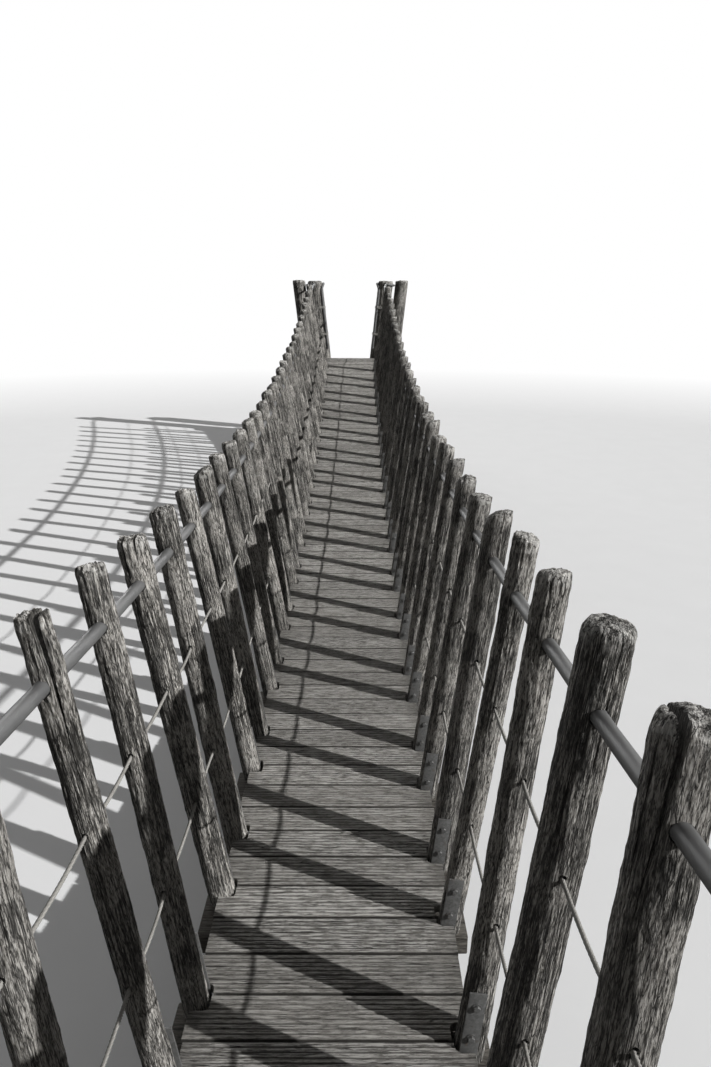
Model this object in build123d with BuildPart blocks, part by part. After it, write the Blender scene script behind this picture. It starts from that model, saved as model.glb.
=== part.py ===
from build123d import *
import math
import os

# A sagging footbridge: a plank deck hung on two bearing cables, with a row of round
# logs leaning outwards along each side. A handrail and two thin ropes run through
# holes in the logs. Lengths are in millimetres, X across, Y along, Z up. The origin
# is on the floor below the middle of the deck.

# Deck, an arc seen from the side, lowest in the middle
board_width = 145.0
board_gap = 5.0
board_thickness = 28.0
board_length = 756.0
boards_per_module = 5
module_count = 21
end_height = 950.0  # of each end above the middle, to within half a percent
floor_height = 330.0  # of the deck surface above the floor in the middle
deck_groups = 5

# Bearing cables and cross bearers under the boards
cable_diameter = 22.0
cable_spread = 470.0  # between the two cables
cable_sides = 6
bearer_width = 200.0
bearer_depth = 70.0
bearer_overhang = 12.0  # beyond the outer side of the logs
bearer_groups = 4

# Logs of the railing
log_diameter = 84.0
log_sides = 6
log_head = 150.0  # above the handrail
left_log_lean = 9.8  # degrees outwards
right_log_lean = 7.4
log_spread = 750.0  # between the axes of a pair at the deck surface
log_bevel = 12.0
log_groups = 4  # on each side
splay_boards = 0.25  # a log leans this far along the bridge at the handrail

# Handrail and ropes, with their heights along the logs
rail_diameter = 34.0
rail_height = 1095.0
rail_sides = 6
rope_diameter = 12.0
middle_rope_height = 752.0
lower_rope_height = 356.0
rope_sides = 4
rope_turn_count = 3  # round each gate post

# Steel plates that hold the logs to the bearers
plate_thickness = 6.0
plate_width = 46.0
plate_height = 165.0  # above the deck surface
plate_shift = 12.0  # towards the walkway from the axis of the log
plate_groups = 2  # on each side

# Gate posts at the ends
gate_diameter = 230.0
outer_gate_diameter = 200.0
gate_sides = 12
gate_lean = 6.0
gate_head = 65.0  # above the handrail
gate_clear_width = 614.0  # between the inner gate posts at the deck surface
gate_bevel = 20.0

# Sill beam under each end of the deck
sill_width = 200.0
sill_depth = 220.0
sill_margin = 14.0  # beyond the last board

# Anchors that hold the ends of the cables against the sills
anchor_width = 90.0
anchor_height = 100.0
anchor_rise = 20.0  # above the middle of the cable
anchor_thickness = 12.0
anchor_nut_diameter = 38.0
anchor_nut_length = 26.0
cable_tail = 52.0  # beyond the sill

# Clearances
seat = 0.3  # between pieces that rest on each other
notch_clearance = 3.0  # round a log in the boards

# Worked out
board_pitch = board_width + board_gap
board_count = boards_per_module * module_count
half_length = board_count * board_pitch / 2
half_module = boards_per_module * board_pitch / 2
deck_radius = half_length**2 / (2 * end_height)
cable_height = -(board_thickness + seat + cable_diameter / 2)
cable_corners = cable_diameter / math.cos(math.pi / cable_sides)
bearer_top = -(board_thickness + cable_diameter + 2 * seat)
leans = {-1: math.radians(left_log_lean), 1: math.radians(right_log_lean)}
log_radius = log_diameter / 2
log_flat = log_radius * math.cos(math.pi / log_sides)
log_offset = bearer_width / 2 - log_flat - seat
log_length = rail_height + log_head
splay = math.asin(
    splay_boards * board_pitch / (rail_height - bearer_top)
)
gate_tilt = math.radians(gate_lean)
gate_radius = gate_diameter / 2
gate_flat = gate_radius * math.cos(math.pi / gate_sides)
outer_gate_radius = outer_gate_diameter / 2
outer_gate_flat = outer_gate_radius * math.cos(math.pi / gate_sides)
outer_gate_shift = (gate_flat + rail_diameter + 2 * seat + outer_gate_flat) / math.cos(gate_tilt)
side_names = {-1: "left", 1: "right"}
end_names = {-1: "near", 1: "far"}
rail_lines = {
    "handrail": (rail_height, rail_diameter, rail_sides, 1),
    "middle_rope": (middle_rope_height, rope_diameter, rope_sides, rope_turn_count),
    "lower_rope": (lower_rope_height, rope_diameter, rope_sides, rope_turn_count),
}


def flat_up(sides):
    """The turn that puts a flat side of a polygon on top."""
    return 90 - 180 / sides


def strand(width, sides):
    """The section of a cable or rope, measured between its flat sides."""
    RegularPolygon(width / 2, sides, major_radius=False, rotation=flat_up(sides))


def buried(side):
    """How far the axis of a log runs below the deck surface."""
    return -bearer_top / math.cos(leans[side])


def arc_point(x, station, height):
    """A point near the deck, in a frame on the deck surface at station 0."""
    turn = station / deck_radius
    arm = deck_radius - height
    return Vector(x, arm * math.sin(turn), deck_radius - arm * math.cos(turn))


def arc_run(station):
    turn = station / deck_radius
    return Vector(0, math.cos(turn), math.sin(turn))


def arc_up(station):
    turn = station / deck_radius
    return Vector(0, -math.sin(turn), math.cos(turn))


def deck_plane(station, height=0.0):
    """The deck at a station of the bridge: X across, Y along, Z square to it."""
    return Plane(
        origin=arc_point(0, station, height) + Vector(0, 0, floor_height),
        x_dir=(1, 0, 0),
        z_dir=arc_up(station),
    )


def log_plane(side, spread):
    """Z up a log from the top of its bearer, Y along the bridge."""
    lean = leans[side]
    place = -side * log_offset
    upright = arc_up(place) * math.cos(splay) + arc_run(place) * (
        spread * math.sin(splay)
    )
    axis = upright * math.cos(lean) + Vector(side * math.sin(lean), 0, 0)
    foot = arc_point(side * (log_spread / 2 + bearer_top * math.tan(lean)), place, 0)
    foot += arc_up(place) * bearer_top
    return Plane(origin=foot, x_dir=Vector(1, 0, 0) - axis * axis.X, z_dir=axis)


def line_place(side, height):
    """How far out and how high above the deck a line passes through the logs."""
    log = log_plane(side, 1)
    crossing = log.origin + log.z_dir * (height + buried(side))
    return crossing.X, deck_radius - math.hypot(crossing.Y, deck_radius - crossing.Z)


def hole_plane(side, spread, height):
    """Square to a line, which is straight in each module, in the frame of a log."""
    x, level = line_place(side, height)
    joint = -spread * board_pitch
    chord = deck_radius - (deck_radius - level) * math.cos(half_module / deck_radius)
    return Plane(origin=arc_point(x, joint, chord), x_dir=(1, 0, 0), z_dir=-arc_run(joint))


def railing_log(side, spread):
    """One log with its three holes, its foot cut level on the bearer."""
    with BuildPart() as log:
        with BuildSketch(log_plane(side, spread).offset(-log_diameter)):
            RegularPolygon(log_radius, log_sides, rotation=flat_up(log_sides))
        extrude(amount=log_diameter + buried(side) + log_length)
        chamfer(log.faces().sort_by(Axis.Z)[-1].edges(), log_bevel)
        for height, diameter, sides, _ in rail_lines.values():
            with BuildSketch(hole_plane(side, spread, height)):
                strand(diameter + 2 * seat, sides)
            extrude(amount=half_module, both=True, mode=Mode.SUBTRACT)
        split(bisect_by=Plane.XY.offset(bearer_top + seat), keep=Keep.TOP)
    return log.part


def foot_plate(side, spread):
    """A plate flat on the bearer's face, bent to follow the log above it."""
    log = log_plane(side, spread)
    lean = leans[side]
    bend = -side * spread * splay
    low = -bearer_depth / math.cos(lean)
    top = plate_height + buried(side)
    corner = -plate_thickness * math.tan(bend / 2)
    upper = Vector(math.sin(bend), math.cos(bend)) * top
    outer = upper + Vector(math.cos(bend), -math.sin(bend)) * plate_thickness
    origin = log.origin + Vector(0, -side * (log_flat + seat), 0)
    profile = Plane(
        origin=origin,
        x_dir=(0, -side, 0),
        z_dir=(math.cos(lean), 0, -side * math.sin(lean)),
    )
    rise = 1 if profile.y_dir.Z > 0 else -1
    outline = [
        (0, low),
        (0, 0),
        (upper.X, upper.Y),
        (outer.X, outer.Y),
        (plate_thickness, corner),
        (plate_thickness, low),
    ]
    with BuildPart() as plate:
        with BuildSketch(profile.offset(-side * plate_shift)):
            Polygon(*[(x, rise * y) for x, y in outline], align=None)
        extrude(amount=plate_width / 2, both=True)
    return plate.part


def deck_board(bearers):
    """A board with notches for the logs on the bearers at these offsets from it."""
    outer = bearer_width / 2 + plate_thickness + notch_clearance
    inner = log_offset - log_radius - notch_clearance
    with BuildPart() as board:
        with BuildSketch():
            Rectangle(board_length, board_width)
            for side, lean in leans.items():
                slant = board_thickness * math.tan(lean)
                width = 2 * (log_radius / math.cos(lean) + slant + notch_clearance)
                for bearer in bearers:
                    middle = bearer - side * (outer + inner) / 2
                    with Locations((side * log_spread / 2, middle)):
                        Rectangle(width, outer - inner, mode=Mode.SUBTRACT)
        extrude(amount=-board_thickness)
    return board.part


def cross_bearer():
    with BuildPart() as bearer:
        with BuildSketch(Plane.XY.offset(bearer_top)):
            Rectangle(log_spread + log_diameter + 2 * bearer_overhang, bearer_width)
        extrude(amount=-bearer_depth)
    return bearer.part


def bearing_cable(side):
    """A cable under the boards, turned about the centre of the deck's arc."""
    reach = half_length + sill_margin + cable_tail
    start = deck_plane(-reach, cable_height)
    section = Plane(
        origin=start.origin + Vector(side * cable_spread / 2, 0, 0),
        x_dir=(1, 0, 0),
        z_dir=-start.y_dir,
    )
    with BuildPart() as cable:
        with BuildSketch(section):
            strand(cable_diameter, cable_sides)
        revolve(
            axis=Axis((0, 0, floor_height + deck_radius), (1, 0, 0)),
            revolution_arc=math.degrees(2 * reach / deck_radius),
        )
    return cable.part


def gate_plane(side, end, shift=0.0):
    """Z up a gate post from the level of the deck's end."""
    edge = deck_plane(end * half_length).origin
    x = side * (gate_clear_width / 2 + gate_radius + shift)
    y = edge.Y + end * (sill_margin + seat + gate_flat)
    axis = Vector(side * math.sin(gate_tilt), 0, math.cos(gate_tilt))
    return Plane(
        origin=(x, y, edge.Z), x_dir=Vector(1, 0, 0) - axis * axis.X, z_dir=axis
    )


def gate_post(side, end, diameter, shift):
    plane = gate_plane(side, end, shift)
    with BuildPart() as post:
        with BuildSketch(plane.offset(-2 * plane.origin.Z)):
            RegularPolygon(diameter / 2, gate_sides, rotation=flat_up(gate_sides))
        extrude(amount=2 * plane.origin.Z + rail_height + gate_head)
        chamfer(post.faces().sort_by(Axis.Z)[-1].edges(), gate_bevel)
        split(bisect_by=Plane.XY, keep=Keep.TOP)
    return post.part


def rail_line(side, height, diameter, sides, turns):
    """A handrail or rope, straight in each module, wound round the gate posts."""
    x, level = line_place(side, height)
    bends = [
        deck_plane(index * half_module, level).origin + Vector(x, 0, 0)
        for index in range(-module_count, module_count + 1, 2)
    ]
    with BuildPart() as line:
        with BuildLine() as route:
            Polyline(*bends)
        with BuildSketch(Plane(origin=bends[0], x_dir=(1, 0, 0), z_dir=bends[0] - bends[1])):
            strand(diameter, sides)
        sweep(path=route.line, transition=Transition.RIGHT)
        for end in (-1, 1):
            post = gate_plane(side, end).offset(height)
            gap = gate_flat + diameter + 2 * seat
            stop = post.origin - Vector(0, end * gap, 0)
            last = deck_plane(end * half_length, level)
            chord = deck_plane(end * (half_length - half_module)).y_dir
            for origin, along in ((last.origin + Vector(x, 0, 0), chord), (stop, Vector(0, 1, 0))):
                with BuildSketch(Plane(origin=origin, x_dir=(1, 0, 0), z_dir=-along)):
                    strand(diameter, sides)
            loft(ruled=True)
            with BuildSketch(post):
                for width, mode in ((diameter, Mode.ADD), (0, Mode.SUBTRACT)):
                    RegularPolygon(
                        gate_flat + seat + width,
                        gate_sides,
                        major_radius=False,
                        rotation=flat_up(gate_sides),
                        mode=mode,
                    )
            extrude(amount=turns * diameter / 2, both=True)
    return line.part


def sill_beam(end):
    """A beam under the last boards, its top cut to the slope of the deck."""
    edge = deck_plane(end * half_length).origin
    under = deck_plane(end * (half_length - sill_width / 2), -board_thickness - seat)
    with BuildPart() as sill:
        with BuildSketch(Plane.XY.offset(edge.Z - board_thickness - sill_depth)):
            with Locations((0, edge.Y + end * (sill_margin - sill_width / 2))):
                Rectangle(gate_clear_width + 2 * gate_diameter, sill_width)
        extrude(amount=2 * sill_depth)
        split(bisect_by=under, keep=Keep.BOTTOM)
        with BuildSketch(under):
            with GridLocations(cable_spread, 0, 2, 1):
                Rectangle(cable_corners + 2 * seat, 2 * sill_width)
        extrude(amount=-cable_diameter - 3 * seat, mode=Mode.SUBTRACT)
    return sill.part


def cable_anchor(side, end):
    """A plate on the sill and a nut that hold the end of a cable."""
    inner_face = deck_plane(half_length).origin.Y + sill_margin + seat
    outer_face = inner_face + anchor_thickness
    turn = math.asin(outer_face / (deck_radius - cable_height))
    cable = deck_plane(end * turn * deck_radius, cable_height)
    shift = Vector(side * cable_spread / 2, 0, 0)
    section = Plane(origin=cable.origin + shift, x_dir=(1, 0, 0), z_dir=cable.y_dir * end)
    middle = section.origin.Z + anchor_rise - anchor_height / 2
    face = Plane(origin=(shift.X, end * inner_face, middle), x_dir=(1, 0, 0), z_dir=(0, end, 0))
    with BuildPart() as anchor:
        with BuildSketch(face):
            Rectangle(anchor_width, anchor_height)
        extrude(amount=anchor_thickness)
        with BuildSketch(section.offset(-anchor_thickness / 2)):
            strand(anchor_nut_diameter, cable_sides)
        extrude(amount=anchor_thickness / 2 + anchor_nut_length)
        with BuildSketch(section):
            strand(cable_diameter + 2 * seat, cable_sides)
        extrude(amount=anchor_height, both=True, mode=Mode.SUBTRACT)
    return anchor.part


def save(solids, name):
    with BuildPart() as piece:
        add(solids)
    piece.part.label = name
    export_step(piece.part, "parts/" + name + ".step")


def save_row(placed, name):
    """Pieces that repeat along the deck: each shape with the stations it stands at."""
    with BuildPart() as row:
        for solid, stations in placed:
            with Locations(*[deck_plane(station) for station in stations]):
                add(solid)
    row.part.label = name
    export_step(row.part, "parts/" + name + ".step")


def share(items, groups):
    """The items in so many groups of neighbours."""
    size = math.ceil(len(items) / groups)
    return [items[first : first + size] for first in range(0, len(items), size)]


os.makedirs("parts", exist_ok=True)

# Bearers in pairs, a board before and after each fifth board
bearers = []
for index in range(-(module_count // 2), module_count // 2 + 1):
    for spread in (-1, 1):
        station = (index * boards_per_module + spread) * board_pitch
        if abs(station) < half_length - 3 * board_pitch:
            bearers.append((station, spread))

bearer = cross_bearer()
for number, group in enumerate(share(bearers, bearer_groups), 1):
    save_row([(bearer, [station for station, _ in group])], f"cross_bearers_{number}")

# Deck boards
boards = [(index - (board_count - 1) / 2) * board_pitch for index in range(board_count)]
notch_reach = (board_width + bearer_width) / 2 + plate_thickness + notch_clearance
for number, group in enumerate(share(boards, deck_groups), 1):
    kinds = {}
    for board in group:
        offsets = [station - board for station, _ in bearers]
        close = tuple(offset for offset in offsets if abs(offset) < notch_reach)
        kinds.setdefault(close, []).append(board)
    save_row(
        [(deck_board(close), stations) for close, stations in kinds.items()],
        f"deck_boards_{number}",
    )

# Railing logs and the plates that hold them
for side, side_name in side_names.items():
    for shape, title, groups in (
        (railing_log, "railing_logs", log_groups),
        (foot_plate, "foot_plates", plate_groups),
    ):
        kinds = {spread: shape(side, spread) for spread in (-1, 1)}
        for number, group in enumerate(share(bearers, groups), 1):
            save_row(
                [
                    (solid, [station for station, other in group if other == spread])
                    for spread, solid in kinds.items()
                ],
                f"{title}_{side_name}_{number}",
            )

# Gate posts and sills
for end, end_name in end_names.items():
    save([sill_beam(end)], f"{end_name}_sill_beam")
    save([cable_anchor(side, end) for side in side_names], f"{end_name}_cable_anchors")
    for side, side_name in side_names.items():
        inner_post = gate_post(side, end, gate_diameter, 0)
        outer_post = gate_post(side, end, outer_gate_diameter, outer_gate_shift)
        save([inner_post], f"{end_name}_{side_name}_gate_post")
        save([outer_post], f"{end_name}_{side_name}_outer_post")

# Bearing cables, handrails and ropes
for side, side_name in side_names.items():
    save([bearing_cable(side)], f"bearing_cable_{side_name}")
    for line_name, shape in rail_lines.items():
        save([rail_line(side, *shape)], f"{line_name}_{side_name}")
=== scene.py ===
import math
import random

import bmesh
import bpy
import numpy as np
from mathutils import Matrix, Vector, noise


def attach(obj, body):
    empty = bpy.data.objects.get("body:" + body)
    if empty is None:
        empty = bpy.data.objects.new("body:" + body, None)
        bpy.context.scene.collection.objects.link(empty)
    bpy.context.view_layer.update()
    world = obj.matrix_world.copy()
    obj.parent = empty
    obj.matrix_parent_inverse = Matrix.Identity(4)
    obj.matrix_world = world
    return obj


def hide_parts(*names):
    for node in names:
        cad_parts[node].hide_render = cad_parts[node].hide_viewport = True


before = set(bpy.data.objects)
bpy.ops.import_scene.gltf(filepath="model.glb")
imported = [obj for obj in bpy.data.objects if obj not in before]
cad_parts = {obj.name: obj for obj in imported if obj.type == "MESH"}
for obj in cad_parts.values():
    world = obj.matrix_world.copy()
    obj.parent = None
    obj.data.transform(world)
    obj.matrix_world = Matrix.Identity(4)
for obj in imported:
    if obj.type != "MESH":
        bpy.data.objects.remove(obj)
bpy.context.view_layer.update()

# The footbridge stands in metres, X across, Y along and Z up, with the floor at zero.
deck = {
    "boardWidth": 0.145,
    "boardGap": 0.005,
    "boardThickness": 0.028,
    "boardLength": 0.756,
    "boardsPerModule": 5,
    "modules": 21,
    "groups": 5,  # pieces that the deck is kept in
    "endRise": 0.95,
    "floorHeight": 0.33,
    "cableDiameter": 0.022,
    "cableSpread": 0.47,
    "bearerWidth": 0.2,
    "bearerDepth": 0.07,
    "bearerGroups": 4,
    "seat": 0.0003,  # between pieces that rest on each other
}
railing = {
    "logRadius": 0.042,
    "head": 0.15,  # of a log above the handrail
    "spread": 0.75,
    "leanLeft": 9.8,
    "leanRight": 7.4,
    "splayBoards": 0.25,
    "handrailHeight": 1.095,
    "middleRopeHeight": 0.752,
    "lowerRopeHeight": 0.356,
    "handrailDiameter": 0.034,
    "ropeDiameter": 0.012,
    "plateTop": 0.165,  # of the steel plates above the deck
    "plateThickness": 0.006,
    "logGroups": 4,  # pieces that each row is kept in
    "plateGroups": 2,
}
gate = {
    "radius": 0.115,
    "outerRadius": 0.1,
    "lean": 6.0,
    "head": 0.065,
    "clearWidth": 0.614,
    "sillMargin": 0.014,
}
logSides, gateSides, cableSides = 6, 12, 6  # of the solids, whose flats carry other pieces

boardPitch = deck["boardWidth"] + deck["boardGap"]
boardCount = deck["boardsPerModule"] * deck["modules"]
halfLength = boardCount * boardPitch / 2
halfModule = deck["boardsPerModule"] * boardPitch / 2
deckRadius = halfLength**2 / (2 * deck["endRise"])
bearerTop = -(deck["boardThickness"] + deck["cableDiameter"] + 2 * deck["seat"])
cableLevel = -(deck["boardThickness"] + deck["seat"] + deck["cableDiameter"] / 2)
logFlat = railing["logRadius"] * math.cos(math.pi / logSides)
logOffset = deck["bearerWidth"] / 2 - logFlat - deck["seat"]
logTop = railing["handrailHeight"] + railing["head"]
splay = math.asin(railing["splayBoards"] * boardPitch / (railing["handrailHeight"] - bearerTop))
sides = {-1: "Left", 1: "Right"}
ends = {-1: "Near", 1: "Far"}
leans = {-1: math.radians(railing["leanLeft"]), 1: math.radians(railing["leanRight"])}
gateFlat = gate["radius"] * math.cos(math.pi / gateSides)
outerGateFlat = gate["outerRadius"] * math.cos(math.pi / gateSides)
outerGateShift = (
    gateFlat + railing["handrailDiameter"] + 2 * deck["seat"] + outerGateFlat
) / math.cos(math.radians(gate["lean"]))
railLines = {
    "handrail": (railing["handrailHeight"], railing["handrailDiameter"]),
    "middleRope": (railing["middleRopeHeight"], railing["ropeDiameter"]),
    "lowerRope": (railing["lowerRopeHeight"], railing["ropeDiameter"]),
}


def deckPoint(x, station, height):
    turn = station / deckRadius
    arm = deckRadius - height
    return Vector(
        (x, arm * math.sin(turn), deck["floorHeight"] + deckRadius - arm * math.cos(turn))
    )


def deckRun(station):
    turn = station / deckRadius
    return Vector((0, math.cos(turn), math.sin(turn)))


def deckUp(station):
    turn = station / deckRadius
    return Vector((0, -math.sin(turn), math.cos(turn)))


def placing(across, along, up, origin):  # takes a piece's own axes to these
    placed = Matrix((across, along, up)).transposed().to_4x4()
    placed.translation = origin
    return placed


def deckPlacing(station, x=0, height=0):
    origin = deckPoint(x, station, height)
    return placing(Vector((1, 0, 0)), deckRun(station), deckUp(station), origin)


def toStation(station):  # moves what is made at station 0
    return deckPlacing(station) @ deckPlacing(0).inverted()


def buried(side):
    return -bearerTop / math.cos(leans[side])


# Z up a log from the top of a bearer at station 0
def logPlacing(side, spread):
    lean, place = leans[side], -side * logOffset
    upright = deckUp(place) * math.cos(splay) + deckRun(place) * (spread * math.sin(splay))
    axis = upright * math.cos(lean) + Vector((side * math.sin(lean), 0, 0))
    foot = deckPoint(side * (railing["spread"] / 2 + bearerTop * math.tan(lean)), place, bearerTop)
    across = (Vector((1, 0, 0)) - axis * axis.x).normalized()
    return placing(across, axis.cross(across), axis, foot)


def upLog(side, height):  # a point on a log's axis, by its height above the deck
    return Vector((0, 0, height + buried(side)))


# How far out and how high above the deck a line runs
def lineLevel(side, height):
    crossing = logPlacing(side, 1) @ upLog(side, height)
    drop = deck["floorHeight"] + deckRadius - crossing.z
    return crossing.x, deckRadius - math.hypot(crossing.y, drop)


# Z up a gate post from the level of the deck's end
def gatePlacing(side, end, shift=0.0):
    edge = deckPoint(0, end * halfLength, 0)
    tilt = math.radians(gate["lean"])
    axis = Vector((side * math.sin(tilt), 0, math.cos(tilt)))
    across = Vector((math.cos(tilt), 0, -side * math.sin(tilt)))
    x = side * (gate["clearWidth"] / 2 + gate["radius"] + shift)
    y = edge.y + end * (gate["sillMargin"] + deck["seat"] + gateFlat)
    return placing(across, axis.cross(across), axis, Vector((x, y, edge.z)))


# In pairs, a board before and after each fifth board
bearers = []
for module in range(-(deck["modules"] // 2), deck["modules"] // 2 + 1):
    for spread in (-1, 1):
        station = (module * deck["boardsPerModule"] + spread) * boardPitch
        if abs(station) < halfLength - 3 * boardPitch:
            bearers.append((station, spread))


def groupsOf(items, groups):  # in so many groups of neighbours
    size = math.ceil(len(items) / groups)
    return [items[first : first + size] for first in range(0, len(items), size)]


def clearSelection():
    active = bpy.context.object
    if active and active.mode != "OBJECT":
        bpy.ops.object.mode_set(mode="OBJECT")
    bpy.ops.object.select_all(action="DESELECT")


def pick(piece):
    clearSelection()
    piece.select_set(True)
    bpy.context.view_layer.objects.active = piece


def editingAll(piece, mode="VERT"):
    pick(piece)
    bpy.ops.object.mode_set(mode="EDIT")
    bpy.ops.mesh.select_mode(type=mode)
    bpy.ops.mesh.select_all(action="SELECT")


# Edits a piece with the edges or faces selected that pass a test
def editing(piece, kind, test):
    editingAll(piece, "EDGE" if kind == "edges" else "FACE")
    bpy.ops.mesh.select_all(action="DESELECT")
    mesh = bmesh.from_edit_mesh(piece.data)
    for part in getattr(mesh, kind):
        if test(part):
            part.select_set(True)
    mesh.select_flush_mode()
    bmesh.update_edit_mesh(piece.data)


def done():
    bpy.ops.object.mode_set(mode="OBJECT")


def isTop(face):
    return face.normal.z > 0.9


# Edits the edges that run far enough along an axis
def editingLong(piece, axis, least):
    editing(piece, "edges", lambda edge: abs((edge.verts[0].co - edge.verts[1].co)[axis]) > least)


def subdivided(piece, axis, least, cuts):
    editingLong(piece, axis, least)
    bpy.ops.mesh.subdivide(number_cuts=cuts)
    done()


def applyPlace(piece):
    pick(piece)
    bpy.ops.object.transform_apply(location=True, rotation=True, scale=True)


def added(tool, **settings):  # what one of Blender's add tools makes
    clearSelection()
    tool(**settings)
    return bpy.context.object


def newBox(size, place=(0, 0, 0)):
    box = added(bpy.ops.mesh.primitive_cube_add, size=1, location=place, scale=size)
    applyPlace(box)
    return box


def newCylinder(sidesRound, radius, depth, middle=0.0):  # its middle at this height
    size = {"vertices": sidesRound, "radius": radius, "depth": depth}
    cylinder = added(bpy.ops.mesh.primitive_cylinder_add, location=(0, 0, middle), **size)
    applyPlace(cylinder)
    return cylinder


def moved(piece, *steps):  # each step a matrix or a shift
    for step in steps:
        matrix = step if isinstance(step, Matrix) else Matrix.Translation(step)
        piece.data.transform(matrix)


def extrude(shift):
    bpy.ops.mesh.extrude_region_move(TRANSFORM_OT_translate={"value": shift})


def eased(piece, width, angle):  # its corners bevelled
    bevel = piece.modifiers.new("ease", "BEVEL")
    bevel.width = width
    bevel.segments = 2
    bevel.angle_limit = math.radians(angle)
    pick(piece)
    bpy.ops.object.modifier_apply(modifier="ease")


def sawOff(piece, point, normal, **settings):
    editingAll(piece)
    bpy.ops.mesh.bisect(plane_co=point, plane_no=normal, use_fill=True, **settings)
    done()


def outward(piece):
    editingAll(piece)
    bpy.ops.mesh.remove_doubles(threshold=0.00002)
    bpy.ops.mesh.normals_make_consistent(inside=False)
    done()


def points(piece):
    flat = np.zeros(len(piece.data.vertices) * 3)
    piece.data.vertices.foreach_get("co", flat)
    return flat.reshape(-1, 3)


def movePoints(piece, places):
    piece.data.vertices.foreach_set("co", np.asarray(places, float).ravel())
    piece.data.update()


# Keeps a number or a vector for each vertex, which a material reads
def paint(piece, name, values, kind="FLOAT"):
    layer = piece.data.attributes.get(name) or piece.data.attributes.new(name, kind, "POINT")
    field = "vector" if kind == "FLOAT_VECTOR" else "value"
    layer.data.foreach_set(field, np.asarray(values, np.float32).ravel())


def painted(piece, name):
    values = np.zeros(len(piece.data.vertices), np.float32)
    layer = piece.data.attributes.get(name)
    if layer:
        layer.data.foreach_get("value", values)
    return values


# The vertices' places in the timber, grain along the third, where no two copies match
def paintGrain(piece, own, draw):
    shift = np.array([draw.uniform(-5, 5) for _ in range(3)])
    paint(piece, "grainPlace", own + shift, "FLOAT_VECTOR")


def paintTone(piece, tone):
    paint(piece, "tone", np.full(len(piece.data.vertices), tone))


def copyOf(piece, name):
    twin = piece.copy()
    twin.data = piece.data.copy()
    twin.name = name
    bpy.context.scene.collection.objects.link(twin)
    return twin


def joined(pieces, name):
    clearSelection()
    for piece in pieces:
        piece.select_set(True)
    bpy.context.view_layer.objects.active = pieces[0]
    if len(pieces) > 1:
        bpy.ops.object.join()
    whole = bpy.context.object
    whole.name = name
    whole.data.name = name
    return whole


def throwAway(*pieces):
    for piece in pieces:
        mesh = piece.data
        bpy.data.objects.remove(piece)
        if mesh.users == 0:
            bpy.data.meshes.remove(mesh)


# Cuts a piece and throws the cutter away. A cut that swallows the piece is undone and made
# again with the cutter a hair to one side.
def cutWith(piece, cutter):
    before = piece.data.copy()
    for attempt in range(5):
        modifier = piece.modifiers.new("cut", "BOOLEAN")
        modifier.operation = "DIFFERENCE"
        modifier.solver = "EXACT"
        modifier.use_self = attempt > 2
        modifier.object = cutter
        pick(piece)
        bpy.ops.object.modifier_apply(modifier="cut")
        if len(piece.data.vertices) > 0.7 * len(before.vertices):
            break
        print("cut made again:", piece.name, attempt)
        spoilt = piece.data
        piece.data = before.copy()
        bpy.data.meshes.remove(spoilt)
        moved(cutter, (0.00013, 0.00011, 0.00007))
    bpy.data.meshes.remove(before)
    throwAway(cutter)


def fading(values, start, over):  # from 0 at the start to 1 this much further on
    return np.clip((values - start) / over, 0, 1)


def eitherWay(draw, reach):
    return draw.uniform(-reach, reach)


def wander(x, y, z, scale, seed=0.0):  # smooth random numbers from -1 to 1
    return noise.noise(Vector((x * scale + seed, y * scale - seed, z * scale + 2 * seed)))


made = []


# Shades a piece smooth up to an angle, gives it its material and puts it in its node's place
def finished(piece, angle, material, node):
    pick(piece)
    bpy.ops.object.shade_smooth_by_angle(angle=math.radians(angle))
    made.append(piece)
    piece.data.materials.clear()
    piece.data.materials.append(material)
    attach(piece, "root")
    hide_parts(node)


# Makes a piece for each item, and joins and finishes those of each group as one
def makeRows(items, groups, makeOne, title, angle, material, slot, node):
    for number, part in enumerate(groupsOf(items, groups), 1):
        row = joined([makeOne(item) for item in part], f"{title}{number}")
        finished(row, angle, material, f"{node}_{number}")


def nodeTree(name):
    material = bpy.data.materials.new(name)
    material.use_nodes = True
    tree = material.node_tree
    tree.nodes.clear()
    output = tree.nodes.new("ShaderNodeOutputMaterial")
    shader = tree.nodes.new("ShaderNodeBsdfPrincipled")
    tree.links.new(shader.outputs["BSDF"], output.inputs["Surface"])
    return material, tree, shader


def addNode(tree, kind, inputs=None, **settings):
    node = tree.nodes.new(kind)
    for key, value in settings.items():
        setattr(node, key, value)
    for key, value in (inputs or {}).items():
        if isinstance(value, bpy.types.NodeSocket):
            tree.links.new(value, node.inputs[key])
        else:
            node.inputs[key].default_value = value
    return node


def ramp(tree, source, stops):
    node = addNode(tree, "ShaderNodeValToRGB", {0: source})
    bar = node.color_ramp
    while len(bar.elements) < len(stops):
        bar.elements.new(0.5)
    for element, (place, shade) in zip(bar.elements, stops):
        element.position = place
        tone = shade if isinstance(shade, tuple) else (shade, shade, shade)
        element.color = (*tone, 1)
    return node.outputs["Color"]


def rising(tree, source, low, high):  # from 0 below the first to 1 above the second
    return ramp(tree, source, [(low, 0.0), (high, 1.0)])


def mixed(tree, amount, first, second, blend="MIX"):
    def socketValue(value):
        return (*value, 1) if isinstance(value, tuple) else value

    inputs = {0: amount, 6: socketValue(first), 7: socketValue(second)}
    return addNode(tree, "ShaderNodeMix", inputs, data_type="RGBA", blend_type=blend).outputs[2]


def maths(tree, operation, first, second=0.0):
    node = addNode(tree, "ShaderNodeMath", {0: first, 1: second}, operation=operation)
    return node.outputs[0]


def times(tree, first, second):
    return maths(tree, "MULTIPLY", first, second)


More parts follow.
